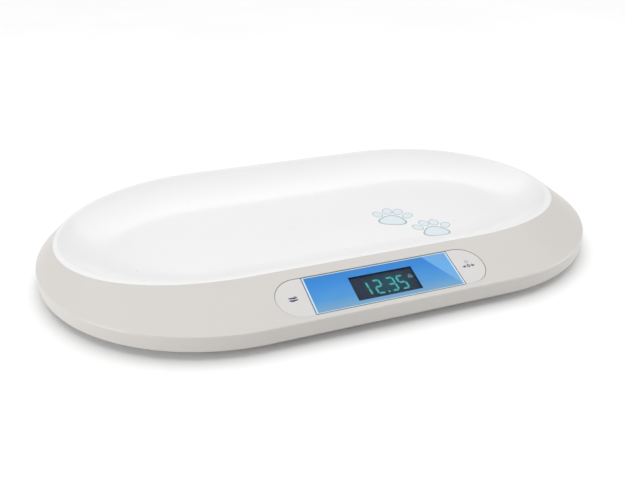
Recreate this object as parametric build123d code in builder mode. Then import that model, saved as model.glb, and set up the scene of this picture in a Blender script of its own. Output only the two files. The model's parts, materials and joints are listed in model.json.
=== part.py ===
"""Animal weighing scale: a dished tray on four load cells, with a display in its sloped front.

Millimetres. +X along the length, the display faces -Y, +Z up. The origin is on the floor, under the middle.
"""
from build123d import *
from math import atan2, cos, radians, sin, sqrt, tan
import os

# ---------------------------------------------------------------- driving dimensions
LENGTH = 550.0
WIDTH = 332.0
EDGE_Z = 8.0            # lower edge of the casing above the floor
CREASE_Z = 21.0         # top of the upright band
RIM_Z = 39.6            # rim at mid length
RIM_DROP = 5.33         # how far the rim line falls by the two ends
RIM_LEVEL_HALF = 90.0   # the rim is level this far each way from mid length
WALL = 2.5
GAP = 0.3               # clearance between pieces that part or move
FIT = 0.05              # clearance of a running or located fit

RIM_HALF = 252.0        # rim outline at height RIM_Z
RIM_FRONT = -111.0
RIM_BACK = 141.5
RIM_STRAIGHT = 102.5
LIP = 3.4               # width of the rim between skirt and tray
LIP_ROUND = 1.1
CREASE_ROUND = 0.8

TRAY_FLOOR_Z = 17.0
TRAY_SLOPE = 40.0
TRAY_ROUND = 80.0
TRAY_STRAIGHT = 110.0

PANEL_S = 26.2          # middle of the display panel, up the front slope from the crease
PANEL_LENGTH = 193.0
PANEL_HEIGHT = 41.3
RECESS = 1.6
PAD_THICK = 2.5
LENS_HALF = 68.0
LENS_HEIGHT = 39.3
LENS_THICK = 1.0
FILM_THICK = 0.25
LCD_S = 24.2            # middle of the liquid crystal display
VIEW_LENGTH = 59.0
VIEW_HEIGHT = 26.1
GLASS_LENGTH = 66.0
GLASS_HEIGHT = 31.0
GLASS_THICK = 2.4
GUIDE_SHIFT = 1.6       # light guide, from the middle of the display
GUIDE_SHORTER = 4.2
GUIDE_LOWER = 5.4
STRIP_SHIFT = 12.9      # contact strip, from the middle of the display
STRIP_SHORTER = 6.0
STRIP_THICK = 1.8
FRAME_BORDER = 4.0
FRAME_CORNER = 1.0
FRAME_LAP_X = 3.6
FRAME_LAP_S = 1.6

KEY_TRAVEL = 0.8
KEY_X = 82.0            # middle of each key's stem
KEY_INNER = 68.6
KEY_TOP = 0.35          # how far the cap sits below the front surface
KEY_ROUND = 0.4
STEM_R = 2.4
FLANGE_REACH = 1.0
FLANGE_THICK = 1.0
SWITCH_TOP = 6.9        # depth of the switch's top face
SWITCH_SIZE = 6.0
SWITCH_WELL = 2.2
PLUNGER_R = 1.7
PLUNGER_ROOT = 1.0      # how much of the plunger is inside the switch

BOARD_DEPTH = 10.0      # from the front surface to the board's face
BOARD_THICK = 1.6
BOARD_HALF = 92.0
BOARD_LOW = 9.5
BOARD_HIGH = 46.0
BOARD_CORNER = 3.0
BOARD_POST_R = 3.0
BOARD_SHANK_R = 1.0
BOARD_SHANK = 6.0
BOARD_HOLE_R = 1.6
BOARD_HEAD_R = 2.5
BOARD_HEAD = 1.6
BOARD_CROSS = (2.6, 0.6, 0.8)
BOARD_SCREWS = tuple((x, s) for x in (-50, 50) for s in (13.5, 41.0))

BASE_THICK = 2.4
BASE_Z = EDGE_Z + GAP
BASE_TOP = BASE_Z + BASE_THICK
BASE_ROUND = 0.8
BASE_INSET = WALL + GAP
RIB_INSET = 0.4
RIB_THICK = 1.6
RIB_HEIGHT = 4.0

SCREW_INSET = 14.0
SCREW_ANGLES = (-75.0, -25.0, 25.0, 75.0)
POST_Z = 13.2
POST_R = 3.6
CASE_BOSS_TOP = 12.9
CASE_BOSS_R = 4.2
CASE_SEAT = BASE_Z + 2.2
CASE_SEAT_R = 3.3
CASE_HEAD_R = 2.9
CASE_HEAD = 2.0
CASE_CROSS = (3.2, 0.7, 1.2)
CASE_SHANK_R = 1.3
CASE_HOLE_R = 1.7
CASE_PILOT_DEPTH = 8.0
PILOT_END = 1.0         # left free beyond the tip of a screw

FOOT_X = 160.0
FOOT_Y = 112.0
FOOT_R = 17.0
FOOT_BOTTOM = 1.0
FOOT_TOP = 6.5
FOOT_ROUND = 1.2
FOOT_BOSS_R = 5.0
FOOT_OPENING_R = 7.0
PAD_R = 14.0
PAD_HEIGHT = 2.0
PAD_CHAMFER = 0.4

CELL_SIZE = 34.0
CELL_THICK = 1.4
CELL_CORNER = 2.0
CELL_SLOT = (20.0, 22.0, 1.0)       # outside of the slot: width, length, offset
CELL_TONGUE = (15.0, 19.0, 2.5)
GAUGE_OFFSET = 9.0
GAUGE_SIZE = (8.0, 4.0)
GAUGE_THICK = 0.25
HOLDER_SCREW_X = 24.0
HOLDER_BORDER = 3.0
HOLDER_EAR = (8.0, 9.0, 2.4)        # length past the screws, width, thickness
HOLDER_TOP = BASE_TOP + CELL_THICK + 2.0
HOLDER_HEAD_R = 2.5
HOLDER_HEAD = 1.3
HOLDER_SHANK = 4.2
HOLDER_CROSS = (3.0, 0.7, 0.7)
HOLDER_SKIN = 0.4       # left under each pilot hole in the base

BATTERY_R = 5.25
BATTERY_LENGTH = 43.7
BATTERY_ROUND = 0.5
NUB_LENGTH = 0.8
NUB_R = 1.9
BATTERY_ROWS = (-107.6, -96.4)
BATTERY_Z = 16.0
BOX_HALF = 48.5
BOX_FRONT = -113.5
BOX_BACK = -90.5
BOX_ROOF = 21.9
BOX_ROOF_THICK = 1.3
BOX_WALL = 2.0
CONTACT_THICK = 0.5
CONTACT_HEIGHT = 9.0
CONTACT_WIDTH = 9.6
SPRING_WIRE_R = 0.35
SPRING_COILS = 3.5
SPRING_FOOT_R = 4.0
SPRING_TAPER = -14.0
DOOR_LEDGE = 1.0
DOOR_THICK = 2.1
PIN_R = 0.6
PIN_REACH = 1.3
PIN_END_GAP = 0.2
NOTCH = (22.0, 9.0, 1.2)            # finger notch in front of the door
GROOVE = (20.0, 1.2, 0.6)
GROOVE_STEPS = (3.0, 5.5, 8.0)

LEAD_R = 0.8
BATTERY_LEAD_R = 0.6
BATTERY_LEAD_GAP = 0.3
LEAD_BEND_SHARE = 0.45  # share of the shorter run that each bend takes
CELL_CONNECTOR_X = 72.0
BATTERY_CONNECTOR_X = 60.0
CELL_CONNECTOR_LENGTH = 9.0
BATTERY_CONNECTOR_LENGTH = 7.0
CELL_LEAD_STEP = 2.0    # each way from the middle of the connector
BATTERY_LEAD_STEP = 1.3
CONNECTOR_S = 33.0
CONNECTOR_HEIGHT = 6.0
CONNECTOR_DEPTH = 4.0
CONNECTOR_EXIT = 7.0
CHIP_SIZE = 11.0
CHIP_DEPTH = 1.3
CHIP_PLACE = (8.0, 27.0)

# ---------------------------------------------------------------- worked out from them
STRAIGHT = (LENGTH - WIDTH) / 2
RISE = RIM_Z - CREASE_Z
FRONT_RUN = WIDTH / 2 + RIM_FRONT
BACK_RUN = WIDTH / 2 - RIM_BACK
END_RUN = LENGTH / 2 - RIM_HALF
FRONT_ANGLE = atan2(RISE, FRONT_RUN)
BACK_ANGLE = atan2(RISE, BACK_RUN)
END_ANGLE = atan2(RISE, END_RUN)
FORM_TOP = RIM_Z + 4.0
RIM_CURVE_RUN = LENGTH / 2 - RIM_LEVEL_HALF
RIM_CURVE_R = (RIM_CURVE_RUN ** 2 + RIM_DROP ** 2) / (2 * RIM_DROP)
LENS_DEPTH = RECESS - LENS_THICK
FILM_DEPTH = LENS_DEPTH - FILM_THICK
PAD_DEPTH = RECESS + PAD_THICK
GLASS_DEPTH = RECESS + 0.2
FRAME_DEPTH = GLASS_DEPTH + GLASS_THICK
FLANGE_TOP = PAD_DEPTH + GAP
FLANGE_BASE = FLANGE_TOP + FLANGE_THICK
PLUNGER_TOP = SWITCH_TOP - KEY_TRAVEL - GAP
BOARD_BACK = BOARD_DEPTH + BOARD_THICK
BOARD_PILOT_R = BOARD_SHANK_R + FIT
CASE_PILOT_R = CASE_SHANK_R + FIT
BOX_MID = (BOX_FRONT + BOX_BACK) / 2
BOX_DEPTH = BOX_BACK - BOX_FRONT
DOOR_HALF = BOX_HALF + DOOR_LEDGE
HINGE_R = DOOR_THICK / 2
HINGE_Y = BOX_BACK + DOOR_LEDGE - GAP - HINGE_R
HINGE_Z = BASE_Z + HINGE_R
CELL_LENGTH = BATTERY_LENGTH + NUB_LENGTH
SPRING_LENGTH = 2 * (BOX_HALF - CONTACT_THICK - CELL_LENGTH)
LEAD_Z = BASE_TOP + CELL_THICK - 0.1
LEAD_DEPTH = BOARD_BACK + CONNECTOR_DEPTH / 2
SIDES = (("left", -1), ("right", 1))
FEET = tuple((x * FOOT_X, y * FOOT_Y) for y in (-1, 1) for x in (-1, 1))


def slope_plane(depth=0.0):
    """Plane on the front slope, depth below its surface: X along the length, Y up the slope."""
    outward = (0, -sin(FRONT_ANGLE), cos(FRONT_ANGLE))
    surface = Plane(origin=(0, -WIDTH / 2, CREASE_Z), x_dir=(1, 0, 0), z_dir=outward)
    return surface.offset(-depth)


def slope_point(x, s, depth):
    """Point in space from a place on the front slope and a depth below it."""
    return slope_plane(depth).from_local_coords((x, s, 0))


def finish(piece, name):
    """Label a finished piece and write its file."""
    piece.part.label = name
    export_step(piece.part, f"parts/{name}.step")


# ---------------------------------------------------------------- casing forms
def oval(half_length, front, back, straight):
    """Face with straight long sides and half-ellipse ends."""
    end = half_length - straight
    radius = (back - front) / 2
    middle = (back + front) / 2
    with BuildSketch() as sketch:
        with BuildLine():
            Line((-straight, front), (straight, front))
            EllipticalCenterArc((straight, middle), end, radius, start_angle=-90, arc_size=180)
            Line((straight, back), (-straight, back))
            EllipticalCenterArc((-straight, middle), end, radius, start_angle=90, arc_size=180)
        make_face()
    return sketch.sketch


def rim_height(x):
    """Height of the rim line: level in the middle, then falling in an arc to each end."""
    run = max(abs(x) - RIM_LEVEL_HALF, 0)
    return RIM_Z - RIM_CURVE_R + sqrt(RIM_CURVE_R ** 2 - run ** 2)


def skirt_outline(height, inset):
    """Outline of the sloped skirt at a height, with its wall moved inwards."""
    share = (height - CREASE_Z) / RISE
    return oval(
        LENGTH / 2 - END_RUN * share - inset / sin(END_ANGLE),
        -WIDTH / 2 + FRONT_RUN * share + inset / sin(FRONT_ANGLE),
        WIDTH / 2 - BACK_RUN * share - inset / sin(BACK_ANGLE),
        STRAIGHT + (RIM_STRAIGHT - STRAIGHT) * share,
    )


def skirt_form(inset):
    """Solid inside the casing's outer surface, which is moved inwards by inset."""
    half = LENGTH / 2 - inset
    radius = WIDTH / 2 - inset
    crease = CREASE_Z + inset * tan(FRONT_ANGLE) - inset / cos(FRONT_ANGLE)
    level = RIM_Z - inset
    low = level - RIM_DROP
    with BuildPart() as form:
        with BuildSketch(Plane.XY.offset(EDGE_Z)):
            add(oval(half, -radius, radius, STRAIGHT))
        extrude(amount=crease - CREASE_ROUND - EDGE_Z)
        with BuildSketch(Plane.XY.offset(crease - CREASE_ROUND)):
            add(oval(half, -radius, radius, STRAIGHT))
        if inset == 0:
            with BuildSketch(Plane.XY.offset(crease + CREASE_ROUND * sin(FRONT_ANGLE))):
                add(skirt_outline(crease + CREASE_ROUND * sin(FRONT_ANGLE), inset))
        with BuildSketch(Plane.XY.offset(FORM_TOP)):
            add(skirt_outline(FORM_TOP, inset))
        loft(ruled=True)
        with BuildSketch(Plane.XZ):
            with BuildLine():
                Line((-RIM_LEVEL_HALF, level), (RIM_LEVEL_HALF, level))
                for side in (-1, 1):
                    TangentArc((side * RIM_LEVEL_HALF, level), (side * LENGTH / 2, low), tangent=(side, 0))
                Polyline(
                    (LENGTH / 2, low),
                    (LENGTH / 2, RIM_Z + WIDTH),
                    (-LENGTH / 2, RIM_Z + WIDTH),
                    (-LENGTH / 2, low),
                )
            make_face()
        extrude(amount=WIDTH, both=True, mode=Mode.SUBTRACT)
    return form


def tray_form(grow):
    """Solid that fills the dished tray, made larger by grow."""
    slope = radians(TRAY_SLOPE)
    end_drop = RIM_Z - rim_height(RIM_HALF)
    end_half = RIM_HALF + end_drop * END_RUN / RISE - LIP + end_drop / tan(slope)
    spread = (FORM_TOP - RIM_Z) / tan(slope) + grow / sin(slope)
    floor = TRAY_FLOOR_Z - grow
    depth = (FORM_TOP - floor) / tan(slope)
    half = end_half + spread
    front = RIM_FRONT + LIP - spread
    back = RIM_BACK - LIP + spread
    with BuildPart() as form:
        with BuildSketch(Plane.XY.offset(floor)):
            add(oval(half - depth, front + depth, back - depth, TRAY_STRAIGHT))
        with BuildSketch(Plane.XY.offset(FORM_TOP)):
            add(oval(half, front, back, TRAY_STRAIGHT))
        loft(ruled=True)
        fillet(form.faces().sort_by(Axis.Z)[0].edges(), radius=TRAY_ROUND + grow)
    return form


def screw_places():
    """Middle of each casing screw, on a ring inside both rounded ends."""
    ring = WIDTH / 2 - SCREW_INSET
    return [
        (side * (STRAIGHT + ring * cos(radians(a))), ring * sin(radians(a)))
        for side in (-1, 1)
        for a in SCREW_ANGLES
    ]


# ---------------------------------------------------------------- top casing
def runs_along_rim(edge):
    """Whether an edge bounds the rim's top, either on the skirt's side or on the tray's."""
    on_rim = all(abs(point.Z - rim_height(point.X)) < FIT for point in (edge @ 0, edge @ 0.5, edge @ 1))
    return on_rim and edge.length > 2 * LIP


def key_outline(grow):
    """Rounded end of the display panel on the right-hand side, as a flat face."""
    with BuildSketch() as sketch:
        SlotOverall(PANEL_LENGTH + 2 * grow, PANEL_HEIGHT + 2 * grow)
        with Locations((KEY_INNER - grow - PANEL_LENGTH, 0)):
            Rectangle(2 * PANEL_LENGTH, 2 * PANEL_HEIGHT, mode=Mode.SUBTRACT)
    return sketch.sketch


def key_face(side, grow):
    """The same rounded end on either side, at its place on the slope."""
    outline = key_outline(grow)
    placed = outline if side > 0 else mirror(outline, about=Plane.YZ, mode=Mode.PRIVATE)
    return Location((0, PANEL_S)) * placed


def build_tray_shell():
    outer = skirt_form(0)
    inner = skirt_form(WALL)
    middle = skirt_form(WALL / 2)
    dish = tray_form(0)
    dish_wall = tray_form(WALL)
    with BuildPart() as hollow:
        add(inner.part)
        add(dish_wall.part, mode=Mode.SUBTRACT)
    with BuildPart() as posts:
        with BuildSketch(Plane.XY.offset(POST_Z)):
            with Locations(*screw_places()):
                Circle(POST_R)
        extrude(amount=RIM_Z)
        add(middle.part, mode=Mode.INTERSECT)
    with BuildPart() as shell:
        add(outer.part)
        add(dish.part, mode=Mode.SUBTRACT)
        fillet([edge for edge in shell.edges() if runs_along_rim(edge)], radius=LIP_ROUND)
        fillet(shell.faces().sort_by(Axis.Z)[0].edges(), radius=CREASE_ROUND)
        add(hollow.part, mode=Mode.SUBTRACT)
        # pad behind the display panel
        with BuildSketch(slope_plane(PAD_DEPTH)):
            with Locations((0, PANEL_S)):
                SlotOverall(PANEL_LENGTH + 2 * PAD_THICK, PANEL_HEIGHT + 2 * PAD_THICK)
        extrude(amount=PAD_THICK)
        # recess for the panel, window for the display and an opening for each key
        with BuildSketch(slope_plane(RECESS)):
            with Locations((0, PANEL_S)):
                SlotOverall(PANEL_LENGTH, PANEL_HEIGHT)
        extrude(amount=2 * RECESS, mode=Mode.SUBTRACT)
        with BuildSketch(slope_plane(PAD_DEPTH + 1)):
            with Locations((0, LCD_S)):
                Rectangle(GLASS_LENGTH + 2 * GAP, GLASS_HEIGHT + 2 * GAP)
            for _, side in SIDES:
                add(key_face(side, 0))
        extrude(amount=PAD_DEPTH, mode=Mode.SUBTRACT)
        # posts that carry the board
        with BuildSketch(slope_plane(BOARD_DEPTH)):
            with Locations(*BOARD_SCREWS):
                Circle(BOARD_POST_R)
                Circle(BOARD_PILOT_R, mode=Mode.SUBTRACT)
        extrude(amount=BOARD_DEPTH - PAD_DEPTH)
        # posts for the casing screws
        add(posts.part)
        with BuildSketch(Plane.XY.offset(POST_Z)):
            with Locations(*screw_places()):
                Circle(CASE_PILOT_R)
        extrude(amount=CASE_PILOT_DEPTH, mode=Mode.SUBTRACT)
    return shell


# ---------------------------------------------------------------- display and keys
def build_display_lens():
    with BuildPart() as lens:
        with BuildSketch(slope_plane(RECESS)):
            with Locations((0, PANEL_S)):
                Rectangle(2 * LENS_HALF, LENS_HEIGHT)
        extrude(amount=LENS_THICK)
    return lens


def build_display_film():
    with BuildPart() as film:
        with BuildSketch(slope_plane(LENS_DEPTH)):
            with Locations((0, PANEL_S)):
                Rectangle(2 * LENS_HALF, LENS_HEIGHT)
            with Locations((0, LCD_S)):
                Rectangle(VIEW_LENGTH, VIEW_HEIGHT, mode=Mode.SUBTRACT)
        extrude(amount=FILM_THICK)
    return film


def build_lcd_glass():
    with BuildPart() as glass:
        with BuildSketch(slope_plane(FRAME_DEPTH)):
            with Locations((0, LCD_S)):
                Rectangle(GLASS_LENGTH, GLASS_HEIGHT)
        extrude(amount=GLASS_THICK)
    return glass


def build_backlight():
    with BuildPart() as backlight:
        with BuildSketch(slope_plane(BOARD_DEPTH)):
            with Locations((0, LCD_S + GUIDE_SHIFT)):
                Rectangle(GLASS_LENGTH - GUIDE_SHORTER, GLASS_HEIGHT - GUIDE_LOWER)
        extrude(amount=BOARD_DEPTH - FRAME_DEPTH)
    return backlight


def build_contact_strip():
    """Rubber strip with conductive layers between the glass and the board."""
    with BuildPart() as strip:
        with BuildSketch(slope_plane(BOARD_DEPTH)):
            with Locations((0, LCD_S - STRIP_SHIFT)):
                Rectangle(GLASS_LENGTH - STRIP_SHORTER, STRIP_THICK)
        extrude(amount=BOARD_DEPTH - FRAME_DEPTH)
    return strip


def build_lcd_frame():
    with BuildPart() as frame:
        with BuildSketch(slope_plane(BOARD_DEPTH)):
            with Locations((0, LCD_S)):
                RectangleRounded(GLASS_LENGTH + FRAME_BORDER, GLASS_HEIGHT + FRAME_BORDER, FRAME_CORNER)
                Rectangle(GLASS_LENGTH - FRAME_LAP_X, GLASS_HEIGHT - FRAME_LAP_S, mode=Mode.SUBTRACT)
        extrude(amount=BOARD_DEPTH - FRAME_DEPTH)
    return frame


def build_main_board():
    with BuildPart() as board:
        with BuildSketch(slope_plane(BOARD_BACK)):
            with Locations((0, (BOARD_LOW + BOARD_HIGH) / 2)):
                RectangleRounded(2 * BOARD_HALF, BOARD_HIGH - BOARD_LOW, BOARD_CORNER)
            with Locations(*BOARD_SCREWS):
                Circle(BOARD_HOLE_R, mode=Mode.SUBTRACT)
        extrude(amount=BOARD_THICK)
    return board


def board_block(x, s, length, height, depth):
    """Block that stands on the back of the board."""
    with BuildPart() as block:
        with BuildSketch(slope_plane(BOARD_BACK + depth)):
            with Locations((x, s)):
                RectangleRounded(length, height, 0.4)
        extrude(amount=depth)
    return block


def connector(x, length):
    """Socket for leads on the back of the board."""
    return board_block(x, CONNECTOR_S, length, CONNECTOR_HEIGHT, CONNECTOR_DEPTH)


def screw_set(places, plane, head_r, head, shank_r, shank, cross):
    """Screws at places on a plane, driven along its normal: the heads start on it, the shanks follow."""
    cross_length, cross_width, cross_depth = cross
    with BuildPart() as screws:
        with BuildSketch(plane):
            with Locations(*places):
                Circle(head_r)
        extrude(amount=head)
        with BuildSketch(plane.offset(head)):
            with Locations(*places):
                Circle(shank_r)
        extrude(amount=shank)
        with BuildSketch(plane):
            with Locations(*places):
                Rectangle(cross_length, cross_width)
                Rectangle(cross_width, cross_length)
        extrude(amount=cross_depth, mode=Mode.SUBTRACT)
    return screws


def build_board_screws():
    plane = slope_plane(BOARD_BACK + BOARD_HEAD)
    return screw_set(BOARD_SCREWS, plane, BOARD_HEAD_R, BOARD_HEAD, BOARD_SHANK_R, BOARD_SHANK, BOARD_CROSS)


def build_key(side):
    with BuildPart() as key:
        with BuildSketch(slope_plane(FLANGE_TOP)):
            add(key_face(side, -GAP))
        extrude(amount=FLANGE_TOP - KEY_TOP)
        outward = Axis(key.part.center(), slope_plane().z_dir)
        fillet(key.faces().sort_by(outward)[-1].edges(), radius=KEY_ROUND)
        with BuildSketch(slope_plane(FLANGE_BASE)):
            add(key_face(side, FLANGE_REACH))
        extrude(amount=FLANGE_THICK)
        with BuildSketch(slope_plane(PLUNGER_TOP)):
            with Locations((side * KEY_X, PANEL_S)):
                Circle(STEM_R)
        extrude(amount=PLUNGER_TOP - FLANGE_BASE)
    return key


def build_switch(side):
    with BuildPart() as switch:
        with BuildSketch(slope_plane(BOARD_DEPTH)):
            with Locations((side * KEY_X, PANEL_S)):
                RectangleRounded(SWITCH_SIZE, SWITCH_SIZE, 0.5)
        extrude(amount=BOARD_DEPTH - SWITCH_TOP)
        with BuildSketch(slope_plane(SWITCH_TOP + SWITCH_WELL)):
            with Locations((side * KEY_X, PANEL_S)):
                Circle(PLUNGER_R + FIT)
        extrude(amount=SWITCH_WELL, mode=Mode.SUBTRACT)
    return switch


def build_plunger(side):
    with BuildPart() as plunger:
        with BuildSketch(slope_plane(SWITCH_TOP + PLUNGER_ROOT)):
            with Locations((side * KEY_X, PANEL_S)):
                Circle(PLUNGER_R)
        extrude(amount=SWITCH_TOP + PLUNGER_ROOT - PLUNGER_TOP)
    return plunger


# ---------------------------------------------------------------- base
def holder_screw_places():
    return [(x + side * HOLDER_SCREW_X, y) for x, y in FEET for side in (-1, 1)]


def build_base_shell():
    half = LENGTH / 2 - BASE_INSET
    radius = WIDTH / 2 - BASE_INSET
    with BuildPart() as base:
        with BuildSketch(Plane.XY.offset(BASE_Z)):
            add(oval(half, -radius, radius, STRAIGHT))
        extrude(amount=BASE_THICK)
        fillet(base.faces().sort_by(Axis.Z)[0].edges(), radius=BASE_ROUND)
        # upstanding rib just inside the casing wall
        rib_out = radius - RIB_INSET
        rib_in = rib_out - RIB_THICK
        with BuildSketch(Plane.XY.offset(BASE_TOP)):
            add(oval(STRAIGHT + rib_out, -rib_out, rib_out, STRAIGHT))
            add(oval(STRAIGHT + rib_in, -rib_in, rib_in, STRAIGHT), mode=Mode.SUBTRACT)
        extrude(amount=RIB_HEIGHT)
        # battery box
        with BuildSketch(Plane.XY.offset(BASE_TOP)):
            with Locations((0, BOX_MID)):
                Rectangle(2 * (BOX_HALF + BOX_WALL), BOX_DEPTH + 2 * BOX_WALL)
        extrude(amount=BOX_ROOF + BOX_ROOF_THICK - BASE_TOP)
        with BuildSketch(Plane.XY.offset(BASE_Z)):
            with Locations((0, BOX_MID)):
                Rectangle(2 * BOX_HALF, BOX_DEPTH)
        extrude(amount=BOX_ROOF - BASE_Z, mode=Mode.SUBTRACT)
        with BuildSketch(Plane.XY.offset(BASE_Z)):
            with Locations((0, BOX_MID)):
                Rectangle(2 * DOOR_HALF, BOX_DEPTH + 2 * DOOR_LEDGE)
        extrude(amount=BASE_THICK, mode=Mode.SUBTRACT)
        # pivot holes of the battery door, finger notch in front of it
        with BuildSketch(Plane.YZ.offset(-DOOR_HALF - PIN_REACH)):
            with Locations((HINGE_Y, HINGE_Z)):
                Circle(PIN_R + FIT)
        extrude(amount=2 * (DOOR_HALF + PIN_REACH), mode=Mode.SUBTRACT)
        with BuildSketch(Plane.XY.offset(BASE_Z)):
            with Locations((0, BOX_FRONT - DOOR_LEDGE)):
                SlotOverall(NOTCH[0], NOTCH[1])
        extrude(amount=NOTCH[2], mode=Mode.SUBTRACT)
        # holes for the leads of the battery contacts
        with BuildSketch(Plane.YZ.offset(BOX_HALF)):
            with Locations(*[(y, BATTERY_Z) for y in BATTERY_ROWS]):
                Circle(BATTERY_LEAD_R + BATTERY_LEAD_GAP)
        extrude(amount=BOX_WALL, mode=Mode.SUBTRACT)
        # screw bosses round the edge, with seats for the heads
        with BuildSketch(Plane.XY.offset(BASE_TOP)):
            with Locations(*screw_places()):
                Circle(CASE_BOSS_R)
        extrude(amount=CASE_BOSS_TOP - BASE_TOP)
        with BuildSketch(Plane.XY.offset(BASE_Z)):
            with Locations(*screw_places()):
                Circle(CASE_SEAT_R)
        extrude(amount=CASE_SEAT - BASE_Z, mode=Mode.SUBTRACT)
        with BuildSketch(Plane.XY.offset(BASE_Z)):
            with Locations(*screw_places()):
                Circle(CASE_HOLE_R)
        extrude(amount=CASE_BOSS_TOP - BASE_Z, mode=Mode.SUBTRACT)
        # openings for the feet, pilot holes for the load cell holders
        with BuildSketch(Plane.XY.offset(BASE_Z)):
            with Locations(*FEET):
                Circle(FOOT_OPENING_R)
        extrude(amount=BASE_THICK, mode=Mode.SUBTRACT)
        with BuildSketch(Plane.XY.offset(BASE_Z + HOLDER_SKIN)):
            with Locations(*holder_screw_places()):
                Circle(CASE_PILOT_R)
        extrude(amount=BASE_THICK, mode=Mode.SUBTRACT)
    return base


def build_case_screws():
    shank = POST_Z + CASE_PILOT_DEPTH - PILOT_END - CASE_SEAT
    plane = Plane.XY.offset(CASE_SEAT - CASE_HEAD)
    return screw_set(screw_places(), plane, CASE_HEAD_R, CASE_HEAD, CASE_SHANK_R, shank, CASE_CROSS)


def build_battery_door():
    front = BOX_FRONT - DOOR_LEDGE + GAP
    with BuildPart() as door:
        with BuildSketch(Plane.YZ.offset(-DOOR_HALF + GAP)):
            with Locations(((front + HINGE_Y) / 2, HINGE_Z)):
                Rectangle(HINGE_Y - front, DOOR_THICK)
            with Locations((HINGE_Y, HINGE_Z)):
                Circle(HINGE_R)
        extrude(amount=2 * (DOOR_HALF - GAP))
        pin_half = DOOR_HALF + PIN_REACH - PIN_END_GAP
        with BuildSketch(Plane.YZ.offset(-pin_half)):
            with Locations((HINGE_Y, HINGE_Z)):
                Circle(PIN_R)
        extrude(amount=2 * pin_half)
        # finger grooves in the outer face
        with BuildSketch(Plane.XY.offset(BASE_Z)):
            with Locations(*[(0, front + step) for step in GROOVE_STEPS]):
                SlotOverall(GROOVE[0], GROOVE[1])
        extrude(amount=GROOVE[2], mode=Mode.SUBTRACT)
    return door


# ---------------------------------------------------------------- batteries
def build_battery(row, place):
    """One cell: place 0 is next to the row's spring, place 1 is beyond it."""
    direction = 1 if row == 0 else -1
    start = -BOX_HALF + CONTACT_THICK + SPRING_LENGTH + place * CELL_LENGTH
    plane = Plane(
        origin=(direction * start, BATTERY_ROWS[row], BATTERY_Z),
        x_dir=(0, 0, 1),
        z_dir=(direction, 0, 0),
    )
    with BuildPart() as cell:
        with BuildSketch(plane):
            Circle(BATTERY_R)
        extrude(amount=BATTERY_LENGTH)
        fillet(cell.edges().filter_by(GeomType.CIRCLE), radius=BATTERY_ROUND)
        with BuildSketch(plane.offset(BATTERY_LENGTH)):
            Circle(NUB_R)
        extrude(amount=NUB_LENGTH)
    return cell


def build_battery_springs():
    """A conical coil at the negative end of each row."""
    height = SPRING_LENGTH - 2 * SPRING_WIRE_R
    start = -BOX_HALF + CONTACT_THICK + SPRING_WIRE_R
    with BuildPart() as springs:
        for row_y, direction in zip(BATTERY_ROWS, (1, -1)):
            with BuildLine() as path:
                Helix(
                    height / SPRING_COILS,
                    height,
                    SPRING_FOOT_R,
                    center=(direction * start, row_y, BATTERY_Z),
                    direction=(direction, 0, 0),
                    cone_angle=SPRING_TAPER,
                )
            with BuildSketch(path.line ^ 0):
                Circle(SPRING_WIRE_R)
            sweep(is_frenet=True)
    return springs


def build_battery_contacts():
    """A plate across both rows on the left, and one plate for each row on the right."""
    with BuildPart() as contacts:
        with BuildSketch(Plane.YZ.offset(-BOX_HALF)):
            with Locations((BOX_MID, BATTERY_Z)):
                Rectangle(2 * CONTACT_WIDTH + 2, CONTACT_HEIGHT)
        extrude(amount=CONTACT_THICK)
        with BuildSketch(Plane.YZ.offset(BOX_HALF - CONTACT_THICK)):
            with Locations(*[(y, BATTERY_Z) for y in BATTERY_ROWS]):
                Rectangle(CONTACT_WIDTH, CONTACT_HEIGHT)
        extrude(amount=CONTACT_THICK)
    return contacts


# ---------------------------------------------------------------- feet and load cells
def build_foot(x, y):
    with BuildPart() as foot:
        with BuildSketch(Plane.XY.offset(FOOT_BOTTOM)):
            with Locations((x, y)):
                Circle(FOOT_R)
        extrude(amount=FOOT_TOP - FOOT_BOTTOM)
        fillet(foot.edges().filter_by(GeomType.CIRCLE), radius=FOOT_ROUND)
        with BuildSketch(Plane.XY.offset(FOOT_BOTTOM)):
            with Locations((x, y)):
                Circle(PAD_R + FIT)
        extrude(amount=PAD_HEIGHT - FOOT_BOTTOM, mode=Mode.SUBTRACT)
        with BuildSketch(Plane.XY.offset(FOOT_TOP)):
            with Locations((x, y)):
                Circle(FOOT_BOSS_R)
        extrude(amount=BASE_TOP - FOOT_TOP)
    return foot


def build_foot_pad(x, y):
    with BuildPart() as pad:
        with BuildSketch(Plane.XY):
            with Locations((x, y)):
                Circle(PAD_R)
        extrude(amount=PAD_HEIGHT)
        chamfer(pad.edges().group_by(Axis.Z)[0], length=PAD_CHAMFER)
    return pad


def build_load_cell(x, y):
    """Steel plate with a slot round three sides of its tongue, which carries the foot."""
    slot_width, slot_length, slot_offset = CELL_SLOT
    tongue_width, tongue_length, tongue_offset = CELL_TONGUE
    with BuildPart() as cell:
        with BuildSketch(Plane.XY.offset(BASE_TOP)):
            with Locations((x, y)):
                RectangleRounded(CELL_SIZE, CELL_SIZE, CELL_CORNER)
            with Locations((x, y + slot_offset)):
                Rectangle(slot_width, slot_length, mode=Mode.SUBTRACT)
            with Locations((x, y + tongue_offset)):
                Rectangle(tongue_width, tongue_length)
        extrude(amount=CELL_THICK)
    return cell


def build_strain_gauges():
    """A foil gauge across the neck of each load cell's tongue."""
    with BuildPart() as gauges:
        with BuildSketch(Plane.XY.offset(BASE_TOP + CELL_THICK)):
            with Locations(*[(x, y + GAUGE_OFFSET) for x, y in FEET]):
                Rectangle(*GAUGE_SIZE)
        extrude(amount=GAUGE_THICK)
    return gauges


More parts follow.
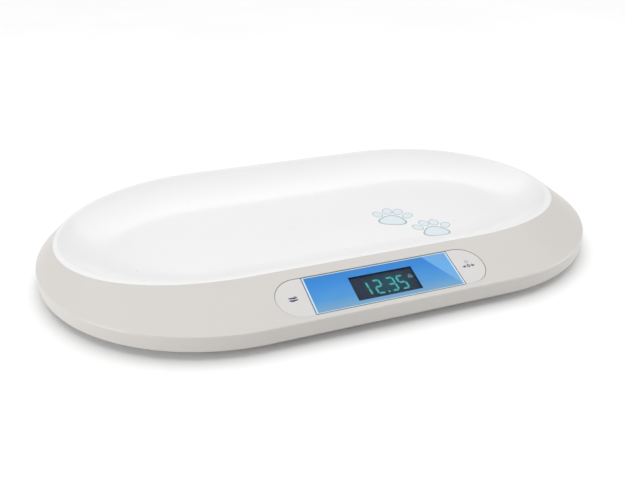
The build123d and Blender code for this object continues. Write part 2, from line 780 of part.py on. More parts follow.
def build_cell_holder(x, y):
    """Plastic frame that clamps the edge of a load cell to the base."""
    past_screws, ear_width, ear_thick = HOLDER_EAR
    outside = CELL_SIZE + 2 * HOLDER_BORDER
    pocket = CELL_SIZE + 2 * FIT
    inside = CELL_SIZE - 2 * HOLDER_BORDER
    with BuildPart() as holder:
        with BuildSketch(Plane.XY.offset(BASE_TOP)):
            with Locations((x, y)):
                RectangleRounded(2 * HOLDER_SCREW_X + past_screws, ear_width, past_screws / 2)
        extrude(amount=ear_thick)
        with BuildSketch(Plane.XY.offset(BASE_TOP)):
            with Locations((x, y)):
                RectangleRounded(outside, outside, HOLDER_BORDER)
        extrude(amount=HOLDER_TOP - BASE_TOP)
        with BuildSketch(Plane.XY.offset(BASE_TOP)):
            with Locations((x, y)):
                RectangleRounded(pocket, pocket, CELL_CORNER)
        extrude(amount=CELL_THICK, mode=Mode.SUBTRACT)
        with BuildSketch(Plane.XY.offset(BASE_TOP)):
            with Locations((x, y)):
                RectangleRounded(inside, inside, CELL_CORNER)
            with Locations((x - HOLDER_SCREW_X, y), (x + HOLDER_SCREW_X, y)):
                Circle(CASE_HOLE_R)
        extrude(amount=HOLDER_TOP - BASE_TOP, mode=Mode.SUBTRACT)
    return holder


def build_holder_screws():
    top = BASE_TOP + HOLDER_EAR[2] + HOLDER_HEAD
    plane = Plane(origin=(0, 0, top), x_dir=(1, 0, 0), z_dir=(0, 0, -1))
    places = holder_screw_places()
    return screw_set(places, plane, HOLDER_HEAD_R, HOLDER_HEAD, CASE_SHANK_R, HOLDER_SHANK, HOLDER_CROSS)


# ---------------------------------------------------------------- leads
def build_lead(points, radius):
    """Round lead along straight runs joined by arcs as large as the runs allow."""
    corners = [Vector(*p) for p in points]
    radii = []
    for before, here, after in zip(corners, corners[1:], corners[2:]):
        run_in = here - before
        run_out = after - here
        turn = radians(run_in.get_angle(run_out))
        radii.append(LEAD_BEND_SHARE * min(run_in.length, run_out.length) / tan(turn / 2))
    with BuildPart() as lead:
        with BuildLine() as path:
            FilletPolyline(*corners, radius=radii)
        with BuildSketch(Plane(origin=corners[0], z_dir=corners[1] - corners[0])):
            Circle(radius)
        sweep(path=path.wire())
    return lead


def connector_entry(x):
    """Where a lead enters its connector, and a point straight out from there."""
    edge = CONNECTOR_S + CONNECTOR_HEIGHT / 2
    return slope_point(x, edge, LEAD_DEPTH), slope_point(x, edge + CONNECTOR_EXIT, LEAD_DEPTH)


def cell_lead_points(x, y, side, entry_x):
    """Route from a load cell holder to the connector on the same side of the board."""
    entry, outside = connector_entry(side * entry_x)
    start_x = FOOT_X - CELL_SIZE / 2 - HOLDER_BORDER
    points = [(side * start_x, y - 13, LEAD_Z), (side * (start_x - 14), y - 13, LEAD_Z)]
    if y > 0:
        points += [
            (side * 104, y - 40, LEAD_Z),
            (side * 96, y - 90, LEAD_Z),
            (side * 98, y - 140, LEAD_Z),
            (side * 92, y - 175, LEAD_Z + 0.4),
            (side * (entry_x + 7), y - 203, LEAD_Z + 3),
        ]
    else:
        points += [
            (side * (entry_x + 28), y + 4, LEAD_Z + 0.5),
            (side * (entry_x + 8), y + 8, LEAD_Z + 4),
        ]
    points += [(outside.X, outside.Y, outside.Z), (entry.X, entry.Y, entry.Z)]
    return points


def battery_lead_points(y, entry_x):
    """Route from a battery contact to its connector."""
    entry, outside = connector_entry(entry_x)
    return [
        (BOX_HALF, y, BATTERY_Z),
        (BOX_HALF + 5, y, BATTERY_Z),
        (entry_x, y - 5, BATTERY_Z + 3),
        (outside.X, outside.Y, outside.Z),
        (entry.X, entry.Y, entry.Z),
    ]


# ---------------------------------------------------------------- assembly
os.makedirs("parts", exist_ok=True)

finish(build_tray_shell(), "tray_shell")
finish(build_base_shell(), "base_shell")
finish(build_case_screws(), "case_screws")
finish(build_battery_door(), "battery_door")

finish(build_display_lens(), "display_lens")
finish(build_display_film(), "display_film")
finish(build_lcd_glass(), "lcd_glass")
finish(build_backlight(), "backlight")
finish(build_contact_strip(), "contact_strip")
finish(build_lcd_frame(), "lcd_frame")
finish(build_main_board(), "main_board")
finish(build_board_screws(), "board_screws")
finish(board_block(*CHIP_PLACE, CHIP_SIZE, CHIP_SIZE, CHIP_DEPTH), "controller_chip")
for side_name, sign in SIDES:
    finish(build_key(sign), f"{side_name}_key")
    finish(build_switch(sign), f"{side_name}_switch")
    finish(build_plunger(sign), f"{side_name}_switch_plunger")
    finish(connector(sign * CELL_CONNECTOR_X, CELL_CONNECTOR_LENGTH), f"{side_name}_cell_connector")
finish(connector(BATTERY_CONNECTOR_X, BATTERY_CONNECTOR_LENGTH), "battery_connector")

for number, (foot_x, foot_y) in enumerate(FEET, 1):
    finish(build_foot(foot_x, foot_y), f"foot_{number}")
    finish(build_foot_pad(foot_x, foot_y), f"foot_pad_{number}")
    finish(build_load_cell(foot_x, foot_y), f"load_cell_{number}")
    finish(build_cell_holder(foot_x, foot_y), f"cell_holder_{number}")
    foot_side = 1 if foot_x > 0 else -1
    connector_x = CELL_CONNECTOR_X + (-CELL_LEAD_STEP if foot_y > 0 else CELL_LEAD_STEP)
    route = cell_lead_points(foot_x, foot_y, foot_side, connector_x)
    finish(build_lead(route, LEAD_R), f"cell_lead_{number}")
finish(build_strain_gauges(), "strain_gauges")
finish(build_holder_screws(), "holder_screws")

for row_number in (0, 1):
    for cell_place in (0, 1):
        finish(build_battery(row_number, cell_place), f"battery_{2 * row_number + cell_place + 1}")
finish(build_battery_springs(), "battery_springs")
finish(build_battery_contacts(), "battery_contacts")
for lead_name, row_y, way in zip(("positive", "negative"), BATTERY_ROWS, (-1, 1)):
    route = battery_lead_points(row_y, BATTERY_CONNECTOR_X + way * BATTERY_LEAD_STEP)
    finish(build_lead(route, BATTERY_LEAD_R), f"battery_lead_{lead_name}")
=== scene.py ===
"""Studio scene of the animal weighing scale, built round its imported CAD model. Metres."""
import json
import math

import bmesh
import bpy
from mathutils import Matrix, Vector
from mathutils.bvhtree import BVHTree


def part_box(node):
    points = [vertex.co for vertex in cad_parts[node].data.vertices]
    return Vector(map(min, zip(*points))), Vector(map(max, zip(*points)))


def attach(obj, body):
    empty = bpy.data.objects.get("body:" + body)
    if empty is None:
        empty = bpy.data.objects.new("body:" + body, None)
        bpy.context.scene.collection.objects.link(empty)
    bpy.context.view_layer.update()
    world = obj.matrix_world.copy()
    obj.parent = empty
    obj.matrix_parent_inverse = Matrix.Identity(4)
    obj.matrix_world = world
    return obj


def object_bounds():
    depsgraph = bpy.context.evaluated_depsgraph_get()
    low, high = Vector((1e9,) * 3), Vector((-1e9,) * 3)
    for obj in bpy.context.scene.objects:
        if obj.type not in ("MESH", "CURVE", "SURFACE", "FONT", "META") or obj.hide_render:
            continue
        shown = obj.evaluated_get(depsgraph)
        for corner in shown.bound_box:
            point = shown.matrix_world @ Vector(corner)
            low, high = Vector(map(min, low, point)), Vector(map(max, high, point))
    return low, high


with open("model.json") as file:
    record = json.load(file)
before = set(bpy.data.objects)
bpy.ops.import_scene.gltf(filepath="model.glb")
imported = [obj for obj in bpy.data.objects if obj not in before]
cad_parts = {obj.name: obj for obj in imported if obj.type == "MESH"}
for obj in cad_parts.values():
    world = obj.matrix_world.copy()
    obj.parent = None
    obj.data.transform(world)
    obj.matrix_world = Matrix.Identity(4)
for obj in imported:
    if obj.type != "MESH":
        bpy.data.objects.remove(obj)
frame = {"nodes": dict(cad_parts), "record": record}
cad_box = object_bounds()

MM = 0.001
RECORD = frame["record"]
NODES = frame["nodes"]
SLOT_OF = {part["node"]: part["material_slot"] for part in RECORD["subparts"]}

# the front slope rises from the casing's crease to its rim
CREASE_Z = 21.0 * MM
SLOPE_RISE = 18.6 * MM
SLOPE_RUN = 55.0 * MM
CREASE = Vector((0.0, cad_box[0].y, CREASE_Z))
SLOPE_ANGLE = math.atan2(SLOPE_RISE, SLOPE_RUN)
SLOPE = Matrix.Translation(CREASE) @ Matrix.Rotation(SLOPE_ANGLE, 4, "X")

PANEL_S = 26.2 * MM
LCD_S = 24.2 * MM
GLASS_DEPTH = 1.8 * MM
KEY_DEPTH = 0.35 * MM
PRINT = 0.04 * MM


# ---------------------------------------------------------------- materials
class Graph:
    """A node material with a Principled shader."""

    def __init__(self, name, **values):
        self.material = bpy.data.materials.new(name)
        self.material.use_nodes = True
        self.tree = self.material.node_tree
        self.shader = self.tree.nodes["Principled BSDF"]
        self.where = self.node("ShaderNodeTexCoord").outputs["Object"]
        for socket, value in values.items():
            self.shader.inputs[socket.replace("_", " ")].default_value = value

    def node(self, kind, inputs=None, **settings):
        made = self.tree.nodes.new(kind)
        for key, value in settings.items():
            setattr(made, key, value)
        for key, value in (inputs or {}).items():
            if isinstance(value, bpy.types.NodeSocket):
                self.tree.links.new(value, made.inputs[key])
            else:
                made.inputs[key].default_value = value
        return made

    def link(self, output, socket):
        self.tree.links.new(output, self.shader.inputs[socket])

    def noise(self, scale, detail=3.0, roughness=0.5, where=None):
        inputs = {"Vector": where or self.where, "Scale": scale, "Detail": detail, "Roughness": roughness}
        return self.node("ShaderNodeTexNoise", inputs).outputs["Fac"]

    def ramp(self, factor, stops):
        """Colour from a factor; stops are (place, colour)."""
        made = self.node("ShaderNodeValToRGB", {"Fac": factor})
        elements = made.color_ramp.elements
        while len(elements) < len(stops):
            elements.new(0.5)
        for element, (place, colour) in zip(elements, stops):
            element.position = place
            element.color = (*colour, 1.0)
        return made.outputs["Color"]

    def span(self, value, low, high, to_low=0.0, to_high=1.0):
        inputs = {"Value": value, "From Min": low, "From Max": high, "To Min": to_low, "To Max": to_high}
        return self.node("ShaderNodeMapRange", inputs).outputs["Result"]

    def mix(self, factor, first, second):
        made = self.node("ShaderNodeMix", data_type="RGBA")
        for socket, value in ((made.inputs[0], factor), (made.inputs[6], first), (made.inputs[7], second)):
            if isinstance(value, bpy.types.NodeSocket):
                self.tree.links.new(value, socket)
            elif isinstance(value, tuple):
                socket.default_value = (*value, 1.0)
            else:
                socket.default_value = value
        return made.outputs[2]

    def maths(self, operation, first, second=0.0):
        return self.node("ShaderNodeMath", {0: first, 1: second}, operation=operation).outputs[0]

    def bump(self, height, distance, strength=1.0, after=None):
        inputs = {"Height": height, "Distance": distance, "Strength": strength}
        if after is not None:
            inputs["Normal"] = after
        normal = self.node("ShaderNodeBump", inputs).outputs["Normal"]
        self.link(normal, "Normal")
        return normal

    def slope_axes(self):
        """Places along the length and up the front slope."""
        inverse = SLOPE.inverted()
        inputs = {
            "Vector": self.where,
            "Location": inverse.to_translation(),
            "Rotation": inverse.to_euler(),
        }
        place = self.node("ShaderNodeMapping", inputs, vector_type="POINT").outputs["Vector"]
        parts = self.node("ShaderNodeSeparateXYZ", {"Vector": place})
        return parts.outputs["X"], parts.outputs["Y"], place


def srgb(red, green, blue):
    """Linear colour from 0-255 display values."""
    def one(value):
        value /= 255.0
        return value / 12.92 if value <= 0.04045 else ((value + 0.055) / 1.055) ** 2.4
    return one(red), one(green), one(blue)


def moulded(name, colour, roughness, grain=2200.0, depth=0.006, tint=0.02, coat=0.0, **values):
    """Moulded plastic: faint flow marks in the colour, fine spark-eroded grain, uneven gloss."""
    graph = Graph(name, Coat_Weight=coat, Coat_Roughness=0.12, **values)
    flow = graph.noise(14.0, 4.0, 0.6)
    darker = tuple(channel * (1.0 - tint) for channel in colour)
    lighter = tuple(min(1.0, channel * (1.0 + 0.4 * tint)) for channel in colour)
    graph.link(graph.ramp(flow, ((0.35, darker), (0.65, lighter))), "Base Color")
    wear = graph.noise(160.0, 5.0, 0.65)
    graph.link(graph.span(wear, 0.3, 0.7, roughness - 0.03, roughness + 0.04), "Roughness")
    wave = graph.bump(graph.noise(90.0, 2.0), 0.02 * MM, 0.35)
    graph.bump(graph.noise(grain, 2.0), depth * MM, 0.6, after=wave)
    return graph.material


def metal(name, colour, roughness, streak=(1.0, 30.0, 1.0), metallic=1.0, depth=0.004):
    """Drawn or ground metal with fine streaks and slightly uneven colour."""
    graph = Graph(name, Metallic=metallic)
    stretched = graph.node("ShaderNodeMapping", {"Vector": graph.where, "Scale": streak}).outputs["Vector"]
    lines = graph.noise(320.0, 6.0, 0.7, stretched)
    dull = tuple(channel * 0.82 for channel in colour)
    graph.link(graph.ramp(lines, ((0.3, dull), (0.7, colour))), "Base Color")
    graph.link(graph.span(lines, 0.3, 0.7, roughness - 0.06, roughness + 0.08), "Roughness")
    graph.bump(lines, depth * MM, 0.5)
    return graph.material


def rubber(name, colour, roughness):
    graph = Graph(name)
    dust = graph.noise(220.0, 6.0, 0.7)
    dusty = tuple(min(1.0, channel * 1.7 + 0.012) for channel in colour)
    graph.link(graph.ramp(dust, ((0.45, colour), (0.8, dusty))), "Base Color")
    graph.link(graph.span(dust, 0.2, 0.8, roughness - 0.05, roughness + 0.08), "Roughness")
    graph.bump(graph.noise(1500.0, 3.0), 0.02 * MM, 0.7)
    return graph.material


def film_print():
    """Blue print behind the window: deeper in the upper middle, a pale facet at the right, a pale border,
    and a painted highlight along its top edge.
    """
    graph = Graph("blue_film", Roughness=0.4, Specular_IOR_Level=0.12)
    x, s, place = graph.slope_axes()
    up = graph.span(s, 6.5 * MM, 45.9 * MM)
    field = graph.ramp(up, (
        (0.0, srgb(118, 160, 190)),
        (0.3, srgb(74, 146, 206)),
        (0.75, srgb(46, 130, 208)),
        (1.0, srgb(48, 122, 194)),
    ))
    # the facet starts at a slanting edge and reaches the film's right end
    edge = graph.maths("ADD", graph.maths("MULTIPLY", s, 0.6), x)
    facet = graph.span(edge, 70.3 * MM, 71.3 * MM)
    pale = graph.ramp(up, (
        (0.0, srgb(122, 168, 212)),
        (0.6, srgb(98, 166, 226)),
        (1.0, srgb(104, 162, 214)),
    ))
    field = graph.mix(facet, field, pale)
    mottle = graph.noise(60.0, 4.0, 0.6, place)
    field = graph.mix(graph.span(mottle, 0.3, 0.9, 0.0, 0.10), field, srgb(128, 178, 222))
    # pale printed border round the edge; the wider band along the top is a painted highlight of the window's
    # top edge
    half = graph.maths("ABSOLUTE", x)
    side = graph.span(half, 66.5 * MM, 66.9 * MM)
    # painted highlight: the lens's top edge, as a pale band
    top = graph.span(s, 44.9 * MM, 45.3 * MM)
    low = graph.span(s, 7.3 * MM, 7.0 * MM)
    rim = graph.maths("MAXIMUM", side, graph.maths("MAXIMUM", top, low))
    graph.link(graph.mix(rim, field, srgb(196, 222, 240)), "Base Color")
    graph.bump(graph.noise(900.0, 2.0), 0.004 * MM, 0.4)
    return graph.material


def display_glass():
    """Dark liquid crystal cell with a greenish glow behind the figures."""
    graph = Graph("lcd", Roughness=0.3, Specular_IOR_Level=0.08)
    x, s, place = graph.slope_axes()
    along = graph.maths("DIVIDE", graph.maths("SUBTRACT", x, 3.0 * MM), 24.0 * MM)
    across = graph.maths("DIVIDE", graph.maths("SUBTRACT", s, LCD_S), 13.0 * MM)
    away = graph.maths("ADD", graph.maths("MULTIPLY", along, along), graph.maths("MULTIPLY", across, across))
    glow = graph.ramp(away, ((0.0, srgb(2, 54, 68)), (0.55, srgb(4, 40, 58)), (1.0, srgb(8, 26, 48))))
    cloud = graph.noise(160.0, 3.0, 0.5, place)
    graph.link(graph.mix(graph.span(cloud, 0.35, 0.75, 0.0, 0.35), glow, srgb(8, 34, 46)), "Base Color")
    graph.link(graph.mix(graph.span(cloud, 0.35, 0.75, 0.0, 0.5), glow, srgb(4, 26, 38)), "Emission Color")
    graph.shader.inputs["Emission Strength"].default_value = 0.35
    return graph.material


def window():
    """Clear acrylic: almost nothing but a little haze and gloss."""
    graph = Graph("clear_lens", Alpha=0.008, Coat_Weight=0.35, Coat_Roughness=0.03)
    haze = graph.noise(240.0, 4.0)
    graph.link(graph.ramp(haze, ((0.3, srgb(226, 238, 248)), (0.8, srgb(250, 252, 255)))), "Base Color")
    graph.link(graph.span(haze, 0.3, 0.8, 0.03, 0.07), "Roughness")
    return graph.material


def ink(name, colour, glow=0.0, shade=0.12):
    """Printed or lit mark with slightly uneven ink."""
    graph = Graph(name, Roughness=0.45, Specular_IOR_Level=0.2)
    uneven = graph.noise(700.0, 4.0, 0.65)
    darker = tuple(channel * (1.0 - shade) for channel in colour)
    tone = graph.ramp(uneven, ((0.3, darker), (0.7, colour)))
    graph.link(tone, "Base Color")
    if glow:
        graph.link(tone, "Emission Color")
        graph.shader.inputs["Emission Strength"].default_value = glow
    return graph.material


def circuit_board():
    """Green solder mask over faint tracks."""
    graph = Graph("board", Roughness=0.32, Coat_Weight=0.4)
    x, s, place = graph.slope_axes()
    inputs = {"Vector": place, "Scale": 260.0}
    cells = graph.node("ShaderNodeTexVoronoi", inputs, feature="DISTANCE_TO_EDGE").outputs["Distance"]
    tracks = graph.span(cells, 0.02, 0.07)
    mask = graph.ramp(graph.noise(90.0), ((0.3, (0.012, 0.105, 0.035)), (0.7, (0.02, 0.15, 0.05))))
    graph.link(graph.mix(tracks, (0.05, 0.26, 0.09), mask), "Base Color")
    graph.bump(tracks, 0.02 * MM, 0.4)
    return graph.material


# skirt and tray are one white moulding: the skirt colour below is darkened and warmed as painted shade, the
# tray colour lightened as painted light
SHELL_SHADED_TONE = srgb(200, 197, 193)
TRAY_LIT_TONE = srgb(231, 231, 231)
BASE = srgb(206, 205, 202)
MATERIALS = {
    "white_shell": moulded("white_shell", SHELL_SHADED_TONE, 0.4, grain=1500.0, depth=0.003, tint=0.012, coat=0.05),
    "base_plastic": moulded("base_plastic", BASE, 0.55, grain=2600.0, depth=0.02, tint=0.03),
    "white_inner": moulded("white_inner", srgb(222, 221, 216), 0.5, depth=0.01),
    "white_keys": moulded("white_keys", srgb(206, 204, 203), 0.4, grain=1800.0, depth=0.002, coat=0.05),
    "clear_lens": window(),
    "blue_film": film_print(),
    "lcd": display_glass(),
    "light_guide": moulded("light_guide", (0.72, 0.82, 0.8), 0.3, Subsurface_Weight=0.3),
    "contact_rubber": rubber("contact_rubber", (0.016, 0.016, 0.017), 0.7),
    "board": circuit_board(),
    "chip": moulded("chip", (0.014, 0.014, 0.015), 0.5, depth=0.012, tint=0.2),
    "connector": moulded("connector", srgb(222, 216, 196), 0.42, depth=0.008, tint=0.05),
    "steel": metal("steel", (0.62, 0.61, 0.57), 0.3, streak=(1.0, 1.0, 8.0)),
    "cell_steel": metal("cell_steel", (0.5, 0.51, 0.52), 0.36, streak=(1.0, 26.0, 1.0)),
    "gauge_foil": metal("gauge_foil", (0.62, 0.33, 0.1), 0.34, streak=(24.0, 1.0, 1.0), metallic=0.4),
    "contact_metal": metal("contact_metal", (0.72, 0.71, 0.68), 0.22, streak=(1.0, 1.0, 12.0)),
    "battery_can": metal("battery_can", (0.055, 0.06, 0.068), 0.36, streak=(20.0, 1.0, 1.0), metallic=0.5),
    "foot_plastic": moulded("foot_plastic", srgb(196, 195, 192), 0.5, depth=0.016, tint=0.03),
    "foot_rubber": rubber("foot_rubber", (0.03, 0.03, 0.031), 0.78),
    "lead_cover": moulded("lead_cover", (0.2, 0.2, 0.2), 0.45, depth=0.01, tint=0.06),
    "lead_red": moulded("lead_red", (0.36, 0.012, 0.01), 0.42, depth=0.01, tint=0.08),
    "lead_black": moulded("lead_black", (0.012, 0.012, 0.012), 0.42, depth=0.01, tint=0.15),
}
# the tray's glossier material, in the lighter colour that is painted light
TRAY_GLOSS_AND_LIT_TONE = moulded("white_tray_gloss_and_painted_light", TRAY_LIT_TONE, 0.3, grain=1500.0, depth=0.002, tint=0.008, coat=0.2)

for node_name, node in NODES.items():
    node.data.materials.clear()
    node.data.materials.append(MATERIALS[SLOT_OF[node_name]])


# ---------------------------------------------------------------- printed marks
def mesh_piece(name, mesh, material, body):
    piece = bpy.data.objects.new(name, mesh)
    bpy.context.scene.collection.objects.link(piece)
    mesh.materials.clear()
    mesh.materials.append(material)
    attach(piece, body)
    return piece


def printed(name, loops, place, material, body):
    """Thin print from closed outlines in millimetres, the inner ones being holes, on the plane of place."""
    curve = bpy.data.curves.new(name, "CURVE")
    curve.dimensions = "2D"
    curve.fill_mode = "BOTH"
    curve.extrude = PRINT / 2
    for loop in loops:
        spline = curve.splines.new("POLY")
        spline.points.add(len(loop) - 1)
        for point, (x, y) in zip(spline.points, loop):
            point.co = (x * MM, y * MM, 0.0, 1.0)
        spline.use_cyclic_u = True
    holder = bpy.data.objects.new(name, curve)
    mesh = bpy.data.meshes.new_from_object(holder)
    bpy.data.objects.remove(holder)
    mesh.transform(place)
    mesh.name = name
    return mesh_piece(name, mesh, material, body)


def on_slope(x, s, depth):
    """Plane parallel to the front slope, with its middle at a place given in metres."""
    return SLOPE @ Matrix.Translation((x, s, -depth))


def arc(centre, radius, start, end, steps=24):
    return [
        (
            centre[0] + radius * math.cos(math.radians(start + (end - start) * i / steps)),
            centre[1] + radius * math.sin(math.radians(start + (end - start) * i / steps)),
        )
        for i in range(steps + 1)
    ]


def band(path, width):
    """Closed outline round a path, half the width to each side, with round ends."""
    points = [Vector(p) for p in path]
    sides = ([], [])
    for i, point in enumerate(points):
        before = points[max(i - 1, 0)]
        after = points[min(i + 1, len(points) - 1)]
        along = (after - before).normalized()
        across = Vector((-along.y, along.x)) * width / 2
        sides[0].append(point + across)
        sides[1].append(point - across)
    caps = []
    for point, other in ((points[-1], points[-2]), (points[0], points[1])):
        out = (point - other).normalized()
        angle = math.degrees(math.atan2(out.y, out.x))
        caps.append(arc(point, width / 2, angle + 90, angle - 90, 8)[1:-1])
    outline = sides[0] + caps[0] + sides[1][::-1] + caps[1]
    return [tuple(p) for p in outline]


# figures on the display: seven segments, each a slim hexagon
DIGIT_WIDTH = 7.6
DIGIT_HEIGHT = 16.0
STROKE = 1.7
SEGMENT_GAP = 0.25
SLANT = -0.06
SEGMENTS = {
    "a": ((0, 2), (1, 2)), "b": ((1, 2), (1, 1)), "c": ((1, 1), (1, 0)), "d": ((0, 0), (1, 0)),
    "e": ((0, 1), (0, 0)), "f": ((0, 2), (0, 1)), "g": ((0, 1), (1, 1)),
}
FIGURES = {"1": "bc", "2": "abged", "3": "abgcd", "5": "afgcd"}


def segment(start, end):
    """Hexagon between two corners of a figure, in millimetres from the figure's middle."""
    def corner(place):
        return Vector((
            (place[0] - 0.5) * (DIGIT_WIDTH - STROKE),
            (place[1] - 1.0) * (DIGIT_HEIGHT - STROKE) / 2,
        ))
    first, last = corner(start), corner(end)
    along = (last - first).normalized()
    across = Vector((-along.y, along.x)) * STROKE / 2
    first = first + along * SEGMENT_GAP
    last = last - along * SEGMENT_GAP
    inset = along * STROKE / 2
    outline = (
        first, first + inset + across, last - inset + across,
        last, last - inset - across, first + inset - across,
    )
    return [(p.x + SLANT * p.y, p.y) for p in outline]


figure_ink = ink("figures", srgb(40, 150, 148), glow=0.35)
for index, (figure, middle) in enumerate((("1", -18.4), ("2", -6.6), ("3", 6.0), ("5", 15.6))):
    loops = [segment(*SEGMENTS[key]) for key in FIGURES[figure]]
    place = on_slope(middle * MM, LCD_S - 1.2 * MM, GLASS_DEPTH - PRINT)
    printed(f"figure_{index + 1}", loops, place, figure_ink, "root")
point_place = on_slope(0.3 * MM, LCD_S - 8.3 * MM, GLASS_DEPTH - PRINT)
printed("figure_point", [arc((0, 0), 0.95, 0, 345, 23)], point_place, figure_ink, "root")

# weight mark at the display's upper right
mark_ink = ink("display_mark", srgb(58, 110, 118), glow=0.25)
weight_body = [(-2.3, -1.9), (2.3, -1.9), (1.6, 1.0), (-1.6, 1.0)]
ring_out = arc((0, 1.55), 0.95, -20, 200, 16)
mark_place = on_slope(25.0 * MM, LCD_S + 3.6 * MM, GLASS_DEPTH - PRINT)
printed("display_weight_mark", [weight_body, ring_out], mark_place, mark_ink, "root")

# key marks
key_ink = ink("key_ink", srgb(70, 80, 108))
pale_ink = ink("key_ink_pale", srgb(140, 156, 168))
swap = [
    band([(-3.5, 1.1), (1.7, 1.1)], 1.0),
    [(1.5, 2.7), (4.1, 1.1), (1.5, -0.4)],
    band([(3.5, -1.5), (-1.7, -1.5)], 1.0),
    [(-1.5, -3.1), (-4.1, -1.5), (-1.5, 0.0)],
]
MARK_DEPTH = KEY_DEPTH - PRINT / 2
swap_place = on_slope(-81.6 * MM, PANEL_S, MARK_DEPTH)
printed("left_key_swap_mark", swap, swap_place, key_ink, "left_key")
zero = [
    band([(-5.4, 0), (-3.4, 0)], 1.0),
    [(-3.9, 1.6), (-1.9, 0), (-3.9, -1.6)],
    band([(5.4, 0), (3.4, 0)], 1.0),
    [(3.9, 1.6), (1.9, 0), (3.9, -1.6)],
]
zero_ring = [
    [(x * 0.8, y) for x, y in arc((0, 0), 1.85, 0, 345, 23)],
    [(x * 0.6, y) for x, y in arc((0, 0), 1.05, 0, 345, 23)],
]
zero_place = on_slope(81.2 * MM, PANEL_S - 0.9 * MM, MARK_DEPTH)
printed("right_key_zero_mark", zero + zero_ring, zero_place, key_ink, "right_key")
power = [band(arc((0, 0), 1.55, 125, 415, 24), 0.5), band([(0, 0.6), (0, 2.0)], 0.5)]
power_place = on_slope(81.4 * MM, PANEL_S + 3.9 * MM, MARK_DEPTH)
printed("right_key_power_mark", power, power_place, pale_ink, "right_key")


# ---------------------------------------------------------------- paw prints on the tray
tray = NODES["tray_shell"]
tray_tree = BVHTree.FromPolygons(
    [v.co[:] for v in tray.data.vertices], [p.vertices[:] for p in tray.data.polygons]
)


def tray_height(x, y):
    """Height of the tray's surface under a place."""
    hit = tray_tree.ray_cast(Vector((x, y, 0.2)), Vector((0, 0, -1)))
    return hit[0].z


def paw_ring(centre, size, turn, inner, outer, lobes):
    """Rings of points round a pad, from one share of its radius to another."""
    rings = []
    steps = 48
    for share in [inner + (outer - inner) * k / 4 for k in range(5)]:
        ring = []
        for i in range(steps):
            angle = 2 * math.pi * i / steps
            radius = share * (1.0 + lobes * math.cos(3 * angle + math.pi / 2))
            x = size[0] * radius * math.cos(angle)
            y = size[1] * radius * math.sin(angle)
            ring.append((
                centre[0] + x * math.cos(turn) - y * math.sin(turn),
                centre[1] + x * math.sin(turn) + y * math.cos(turn),
            ))
        rings.append(ring)
    return rings


def paw_mesh(name, pads, inner, outer, lift):
    """Thin closed skins that follow the tray, one for each pad."""
    mesh = bpy.data.meshes.new(name)
    made = bmesh.new()
    for centre, size, turn, lobes in pads:
        layers = []
        for height in (lift, lift + PRINT):
            rings = [
                [made.verts.new((x, y, tray_height(x, y) + height)) for x, y in ring]
                for ring in paw_ring(centre, size, turn, inner, outer, lobes)
            ]
            layers.append(rings)
        count = len(layers[0][0])
        for level, rings in enumerate(layers):
            for near, far in zip(rings, rings[1:]):
                for i in range(count):
                    j = (i + 1) % count
                    corners = (near[i], far[i], far[j], near[j])
                    made.faces.new(corners if level else corners[::-1])
        for ring in (0, -1):
            low, high = layers[0][ring], layers[1][ring]
            for i in range(count):
                j = (i + 1) % count
                corners = (low[i], low[j], high[j], high[i])
                made.faces.new(corners if ring else corners[::-1])
    made.normal_update()
    made.to_mesh(mesh)
    made.free()
    return mesh


def paw(number, middle, size, turn):
    """A paw print: four toes over a broad pad, with a pale fill inside a thin outline."""
    pads = []
    layout = (
        ((0.0, -0.20), (0.40, 0.33), 0.0, 0.10),
        ((-0.46, 0.20), (0.145, 0.205), 0.42, 0.0),
        ((-0.165, 0.46), (0.15, 0.215), 0.12, 0.0),
        ((0.165, 0.46), (0.15, 0.215), -0.12, 0.0),
        ((0.46, 0.20), (0.145, 0.205), -0.42, 0.0),
    )
    for (x, y), (across, along), lean, lobes in layout:
        place = Matrix.Rotation(turn, 2) @ Vector((x * size, y * size))
        pads.append((
            (middle[0] + place.x, middle[1] + place.y),
            (across * size, along * size),
            turn + lean,
            lobes,
        ))
    fill = paw_mesh(f"paw_{number}_fill", pads, 0.02, 0.93, 0.02 * MM)
    mesh_piece(f"paw_{number}_fill", fill, paw_fill, "root")
    line = paw_mesh(f"paw_{number}_outline", pads, 0.93, 1.06, 0.02 * MM)
    mesh_piece(f"paw_{number}_outline", line, paw_line, "root")


paw_fill = ink("paw_fill", srgb(214, 224, 228), shade=0.03)
paw_line = ink("paw_line", srgb(158, 178, 188), shade=0.10)
paw(1, (0.077, -0.004), 0.034, -0.45)
paw(2, (0.104, -0.043), 0.032, -0.15)

# the dish and the rim round it, down to the top of the casing's slope, get a glossier material in a lighter
# copy of the casing's white: the gloss is real, the lighter colour is a painted highlight
RIM_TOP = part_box("tray_shell")[1].z
RIM_LEVEL_HALF = 90.0 * MM
RIM_CURVE_R = 3213.3 * MM
RIM_BAND = 1.0 * MM
OUTER_TILT = 0.85
DISH_MIDDLE = 15.25 * MM
DISH_DEPTH = 126.0 * MM
DISH_HALF = 256.0 * MM
DISH_STRAIGHT = 106.0 * MM
TRAY_FLOOR_Z = 16.5 * MM


def has_tray_gloss_and_lit_tone(face):
    """Whether a face of the top casing lies in the dish or on the rim."""
    x, y, z = face.center
    run = max(abs(x) - RIM_LEVEL_HALF, 0.0)
    rim = RIM_TOP - RIM_CURVE_R + math.sqrt(RIM_CURVE_R ** 2 - run ** 2)
    outward = face.normal.x * x + face.normal.y * (y - DISH_MIDDLE) > 0.0
    if outward and face.normal.z < OUTER_TILT:
        return False
    if z > rim - RIM_BAND:
        return True
    end = max(abs(x) - DISH_STRAIGHT, 0.0) / (DISH_HALF - DISH_STRAIGHT)
    inside = end ** 2 + ((y - DISH_MIDDLE) / DISH_DEPTH) ** 2 < 1.0
    return inside and face.normal.z > 0.5 and z > TRAY_FLOOR_Z


# dish and rim faces take that glossier material, lighter by painted light
tray.data.materials.append(TRAY_GLOSS_AND_LIT_TONE)
for face in tray.data.polygons:
    if has_tray_gloss_and_lit_tone(face):
        face.material_index = 1


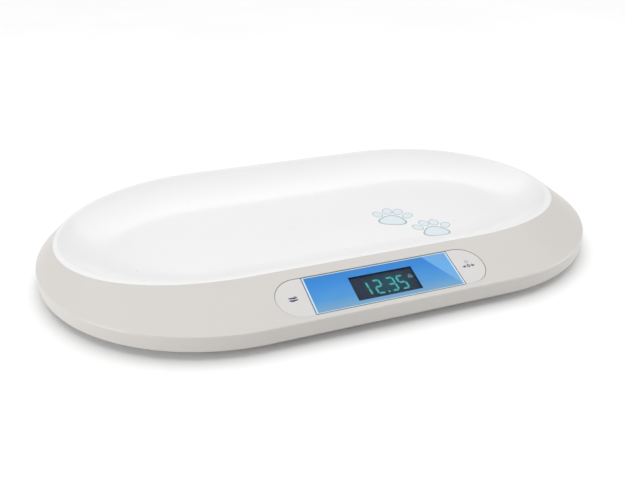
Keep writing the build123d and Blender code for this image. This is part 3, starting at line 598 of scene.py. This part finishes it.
# ---------------------------------------------------------------- studio
def area_light(name, location, target, size, power, colour=(1.0, 1.0, 1.0)):
    data = bpy.data.lights.new(name, "AREA")
    data.shape = "RECTANGLE"
    data.size, data.size_y = size
    data.energy = power
    data.color = colour
    lamp = bpy.data.objects.new(name, data)
    lamp.location = location
    lamp.rotation_euler = (Vector(target) - Vector(location)).to_track_quat("-Z", "Y").to_euler()
    bpy.context.scene.collection.objects.link(lamp)


def sun(name, towards, strength, angle, colour=(1.0, 1.0, 1.0)):
    data = bpy.data.lights.new(name, "SUN")
    data.energy = strength
    data.angle = math.radians(angle)
    data.color = colour
    lamp = bpy.data.objects.new(name, data)
    lamp.rotation_euler = (-Vector(towards)).to_track_quat("-Z", "Y").to_euler()
    bpy.context.scene.collection.objects.link(lamp)


world = bpy.data.worlds.new("studio")
bpy.context.scene.world = world
world.use_nodes = True
world.node_tree.nodes["Background"].inputs["Color"].default_value = (1.0, 1.0, 1.0, 1.0)
world.node_tree.nodes["Background"].inputs["Strength"].default_value = 0.47

sun("overhead", (0.12, 0.3, 1.0), 1.85, 80.0)
area_light("softbox", (-1.4, -0.35, 0.35), (0.0, 0.0, 0.02), (0.8, 0.5), 7.0)
area_light("fill", (1.4, -0.45, 0.35), (0.0, 0.0, 0.02), (0.8, 0.5), 5.0)

floor_mesh = bpy.data.meshes.new("floor")
floor_mesh.from_pydata([(-6, -6, 0), (6, -6, 0), (6, 6, 0), (-6, 6, 0)], [], [(0, 1, 2, 3)])
floor = bpy.data.objects.new("floor", floor_mesh)
bpy.context.scene.collection.objects.link(floor)
sweep = Graph("floor_paper", Roughness=0.9)
paper = sweep.noise(3.0, 2.0)
sweep.link(sweep.ramp(paper, ((0.3, (0.93, 0.93, 0.93)), (0.7, (0.95, 0.95, 0.95)))), "Base Color")
sweep.shader.inputs["Specular IOR Level"].default_value = 0.1
floor_mesh.materials.append(sweep.material)

camera_data = bpy.data.cameras.new("camera")
camera_data.lens = 40.32
camera_data.sensor_width = 36.0
camera_data.clip_start = 0.02
camera = bpy.data.objects.new("camera", camera_data)
azimuth, elevation = math.radians(-20.873), math.radians(27.075)
back = Vector((
    math.sin(azimuth) * math.cos(elevation),
    -math.cos(azimuth) * math.cos(elevation),
    math.sin(elevation),
))
camera.location = (-0.23930, -0.59828, 0.32051)
camera.rotation_euler = (-back).to_track_quat("-Z", "Y").to_euler()
bpy.context.scene.collection.objects.link(camera)
bpy.context.scene.camera = camera
bpy.context.scene.view_settings.view_transform = "Standard"
